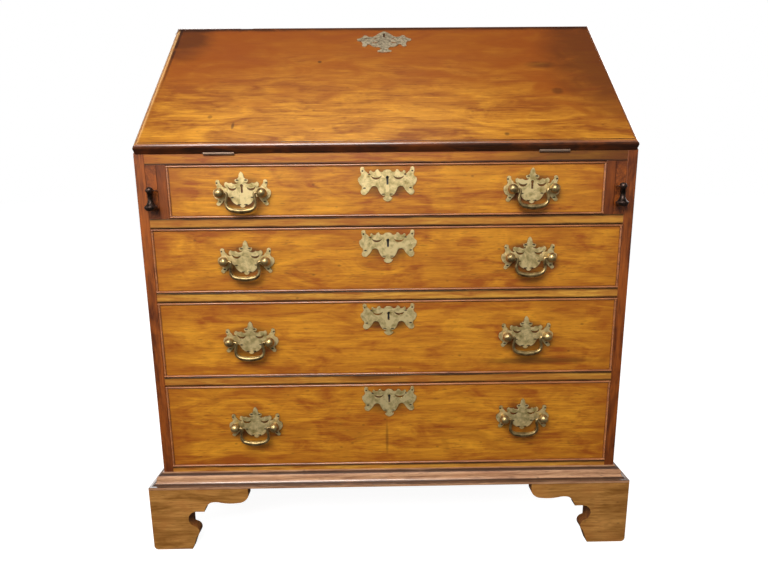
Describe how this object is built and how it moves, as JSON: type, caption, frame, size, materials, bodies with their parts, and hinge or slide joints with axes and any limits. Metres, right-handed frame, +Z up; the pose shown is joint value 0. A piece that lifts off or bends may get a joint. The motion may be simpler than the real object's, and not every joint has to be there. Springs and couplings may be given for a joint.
{
  "type": "writing bureau",
  "caption": "Slant-front wooden writing bureau: hinged fall over sliding lopers, long brass-handled drawers, pigeonholes behind the fall, on bracket feet.",
  "frame": {"origin": "centre of the footprint on the floor", "axes": "+Z up, the drawers and the fall face -Y, +X to the right of someone facing them"},
  "size_m": [0.9672, 0.5438, 1.0709],
  "materials": {
    "case_wood": "old wax polish",
    "front_wood": "old wax polish",
    "lining_wood": "dry, unpolished",
    "brass": "aged, dull",
    "lock_steel": "filed, aged"
  },
  "bodies": {
    "case": {"side_left": "case_wood", "side_right": "case_wood", "top_board": "case_wood", "bottom_board": "lining_wood", "back_boards": "lining_wood", "writing_bed": "front_wood", "drawer_rails": "front_wood", "drawer_runners": "lining_wood", "loper_partitions": "case_wood", "base_moulding": "case_wood", "bracket_feet": "case_wood", "gallery": "lining_wood", "case_hinge_leaves": "brass"},
    "drawer_1": {"drawer_1_front": "front_wood", "drawer_1_cockbeads": "front_wood", "drawer_1_box": "lining_wood", "drawer_1_brass": "brass", "drawer_1_lock": "lock_steel", "drawer_1_lock_bolt": "lock_steel"},
    "drawer_1_bail_left": {"drawer_1_bail_left": "brass"},
    "drawer_1_bail_right": {"drawer_1_bail_right": "brass"},
    "drawer_2": {"drawer_2_front": "front_wood", "drawer_2_cockbeads": "front_wood", "drawer_2_box": "lining_wood", "drawer_2_brass": "brass", "drawer_2_lock": "lock_steel"},
    "drawer_2_bail_left": {"drawer_2_bail_left": "brass"},
    "drawer_2_bail_right": {"drawer_2_bail_right": "brass"},
    "drawer_2_bolt": {"drawer_2_lock_bolt": "lock_steel"},
    "drawer_3": {"drawer_3_front": "front_wood", "drawer_3_cockbeads": "front_wood", "drawer_3_box": "lining_wood", "drawer_3_brass": "brass", "drawer_3_lock": "lock_steel"},
    "drawer_3_bail_left": {"drawer_3_bail_left": "brass"},
    "drawer_3_bail_right": {"drawer_3_bail_right": "brass"},
    "drawer_3_bolt": {"drawer_3_lock_bolt": "lock_steel"},
    "drawer_4": {"drawer_4_front": "front_wood", "drawer_4_cockbeads": "front_wood", "drawer_4_box": "lining_wood", "drawer_4_brass": "brass", "drawer_4_lock": "lock_steel"},
    "drawer_4_bail_left": {"drawer_4_bail_left": "brass"},
    "drawer_4_bail_right": {"drawer_4_bail_right": "brass"},
    "drawer_4_bolt": {"drawer_4_lock_bolt": "lock_steel"},
    "loper_left": {"loper_left": "case_wood", "loper_left_staple": "brass"},
    "loper_left_drop": {"loper_left_drop": "brass"},
    "loper_right": {"loper_right": "case_wood", "loper_right_staple": "brass"},
    "loper_right_drop": {"loper_right_drop": "brass"},
    "fall": {"fall_board": "front_wood", "fall_escutcheon": "brass", "fall_lock": "lock_steel", "fall_hinge_leaves": "brass"},
    "fall_bolt": {"fall_lock_bolt": "lock_steel"},
    "pen_drawer_1": {"pen_drawer_1": "lining_wood"},
    "pen_drawer_2": {"pen_drawer_2": "lining_wood"},
    "pen_drawer_3": {"pen_drawer_3": "lining_wood"},
    "pen_drawer_4": {"pen_drawer_4": "lining_wood"}
  },
  "joints": [
    {"name": "drawer_1_slide", "type": "slide", "parent": "case", "child": "drawer_1", "axis": [0, -1, 0], "range_m": [0, 0.27]},
    {"name": "drawer_1_bail_left_swing", "type": "hinge", "parent": "drawer_1", "child": "drawer_1_bail_left", "pos_m": [-0.267, -0.2626, 0.71662], "axis": [-1, 0, 0], "range_deg": [0, 85]},
    {"name": "drawer_1_bail_right_swing", "type": "hinge", "parent": "drawer_1", "child": "drawer_1_bail_right", "pos_m": [0.267, -0.2626, 0.71886], "axis": [-1, 0, 0], "range_deg": [0, 85]},
    {"name": "drawer_2_slide", "type": "slide", "parent": "case", "child": "drawer_2", "axis": [0, -1, 0], "range_m": [0, 0.36]},
    {"name": "drawer_2_bail_left_swing", "type": "hinge", "parent": "drawer_2", "child": "drawer_2_bail_left", "pos_m": [-0.267, -0.2626, 0.59105], "axis": [-1, 0, 0], "range_deg": [0, 85]},
    {"name": "drawer_2_bail_right_swing", "type": "hinge", "parent": "drawer_2", "child": "drawer_2_bail_right", "pos_m": [0.267, -0.2626, 0.59229], "axis": [-1, 0, 0], "range_deg": [0, 85]},
    {"name": "drawer_2_bolt_throw", "type": "slide", "parent": "drawer_2", "child": "drawer_2_bolt", "axis": [0, 0, 1], "range_m": [0, 0.008]},
    {"name": "drawer_3_slide", "type": "slide", "parent": "case", "child": "drawer_3", "axis": [0, -1, 0], "range_m": [0, 0.36]},
    {"name": "drawer_3_bail_left_swing", "type": "hinge", "parent": "drawer_3", "child": "drawer_3_bail_left", "pos_m": [-0.267, -0.2626, 0.43494], "axis": [-1, 0, 0], "range_deg": [0, 85]},
    {"name": "drawer_3_bail_right_swing", "type": "hinge", "parent": "drawer_3", "child": "drawer_3_bail_right", "pos_m": [0.267, -0.2626, 0.43887], "axis": [-1, 0, 0], "range_deg": [0, 85]},
    {"name": "drawer_3_bolt_throw", "type": "slide", "parent": "drawer_3", "child": "drawer_3_bolt", "axis": [0, 0, 1], "range_m": [0, 0.008]},
    {"name": "drawer_4_slide", "type": "slide", "parent": "case", "child": "drawer_4", "axis": [0, -1, 0], "range_m": [0, 0.36]},
    {"name": "drawer_4_bail_left_swing", "type": "hinge", "parent": "drawer_4", "child": "drawer_4_bail_left", "pos_m": [-0.267, -0.2626, 0.2594], "axis": [-1, 0, 0], "range_deg": [0, 85]},
    {"name": "drawer_4_bail_right_swing", "type": "hinge", "parent": "drawer_4", "child": "drawer_4_bail_right", "pos_m": [0.267, -0.2626, 0.26947], "axis": [-1, 0, 0], "range_deg": [0, 85]},
    {"name": "drawer_4_bolt_throw", "type": "slide", "parent": "drawer_4", "child": "drawer_4_bolt", "axis": [0, 0, 1], "range_m": [0, 0.008]},
    {"name": "loper_left_slide", "type": "slide", "parent": "case", "child": "loper_left", "axis": [0, -1, 0], "range_m": [0, 0.29]},
    {"name": "loper_left_drop_swing", "type": "hinge", "parent": "loper_left", "child": "loper_left_drop", "pos_m": [-0.4308, -0.2604, 0.72218], "axis": [-1, 0, 0], "range_deg": [0, 85]},
    {"name": "loper_right_slide", "type": "slide", "parent": "case", "child": "loper_right", "axis": [0, -1, 0], "range_m": [0, 0.29]},
    {"name": "loper_right_drop_swing", "type": "hinge", "parent": "loper_right", "child": "loper_right_drop", "pos_m": [0.4308, -0.2604, 0.72218], "axis": [-1, 0, 0], "range_deg": [0, 85]},
    {"name": "fall_hinge", "type": "hinge", "parent": "case", "child": "fall", "pos_m": [0, -0.2491, 0.787], "axis": [1, 0, 0], "range_deg": [0, 135.5]},
    {"name": "fall_bolt_throw", "type": "slide", "parent": "fall", "child": "fall_bolt", "axis": [0, 0.7133, 0.7009], "range_m": [0, 0.0072]},
    {"name": "pen_drawer_1_slide", "type": "slide", "parent": "case", "child": "pen_drawer_1", "axis": [0, -1, 0], "range_m": [0, 0.14]},
    {"name": "pen_drawer_2_slide", "type": "slide", "parent": "case", "child": "pen_drawer_2", "axis": [0, -1, 0], "range_m": [0, 0.14]},
    {"name": "pen_drawer_3_slide", "type": "slide", "parent": "case", "child": "pen_drawer_3", "axis": [0, -1, 0], "range_m": [0, 0.14]},
    {"name": "pen_drawer_4_slide", "type": "slide", "parent": "case", "child": "pen_drawer_4", "axis": [0, -1, 0], "range_m": [0, 0.14]}
  ]
}
